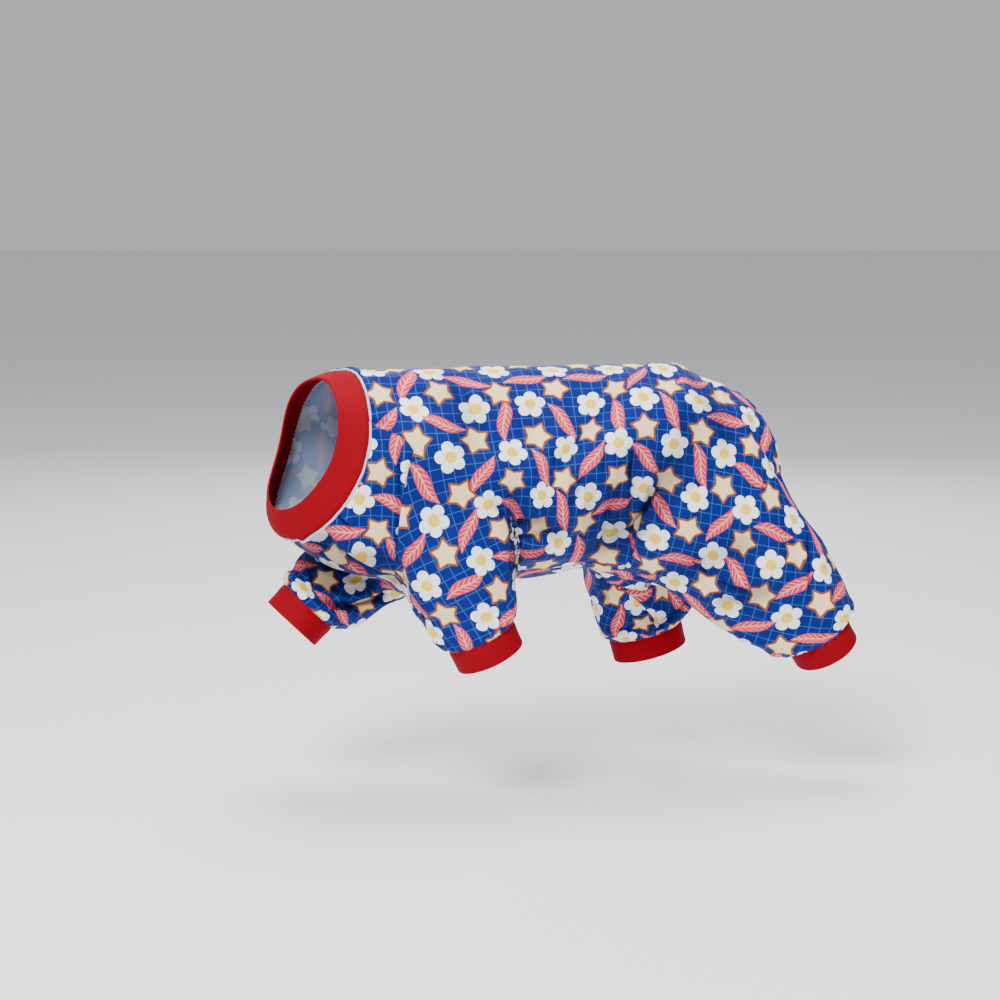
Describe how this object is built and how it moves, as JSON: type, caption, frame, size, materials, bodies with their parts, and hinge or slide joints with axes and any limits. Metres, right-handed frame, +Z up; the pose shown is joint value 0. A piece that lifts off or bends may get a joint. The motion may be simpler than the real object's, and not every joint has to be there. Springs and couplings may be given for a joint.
{
  "type": "dog jumpsuit",
  "caption": "Long-sleeved jumpsuit for a small dog, worn form: torso tube, sleeves, hind legs, ribbed neck and cuffs, gathered rear opening.",
  "frame": {"origin": "on the inside of the back panel over the withers, where the dog's back carries the jumpsuit", "axes": "+X from the neck to the tail along the back, -Y to the dog's left side, +Z up"},
  "size_m": [0.4705, 0.1684, 0.2613],
  "materials": {
    "back_panel": "smooth printed cloth",
    "chest_panel": "smooth printed cloth",
    "left_sleeve": "smooth printed cloth",
    "right_sleeve": "smooth printed cloth",
    "left_hind_leg": "smooth printed cloth",
    "right_hind_leg": "smooth printed cloth",
    "neck_rib": "fine rib knit",
    "left_front_cuff": "fine rib knit",
    "right_front_cuff": "fine rib knit",
    "left_hind_cuff": "fine rib knit",
    "right_hind_cuff": "fine rib knit",
    "rear_elastic_hem": "smooth printed cloth"
  },
  "bodies": {
    "root": {"back_panel": "back_panel", "chest_panel": "chest_panel", "left_sleeve": "left_sleeve", "right_sleeve": "right_sleeve", "left_hind_leg": "left_hind_leg", "right_hind_leg": "right_hind_leg", "neck_rib": "neck_rib", "left_front_cuff": "left_front_cuff", "right_front_cuff": "right_front_cuff", "left_hind_cuff": "left_hind_cuff", "right_hind_cuff": "right_hind_cuff", "rear_elastic_hem": "rear_elastic_hem"}
  },
  "joints": []
}
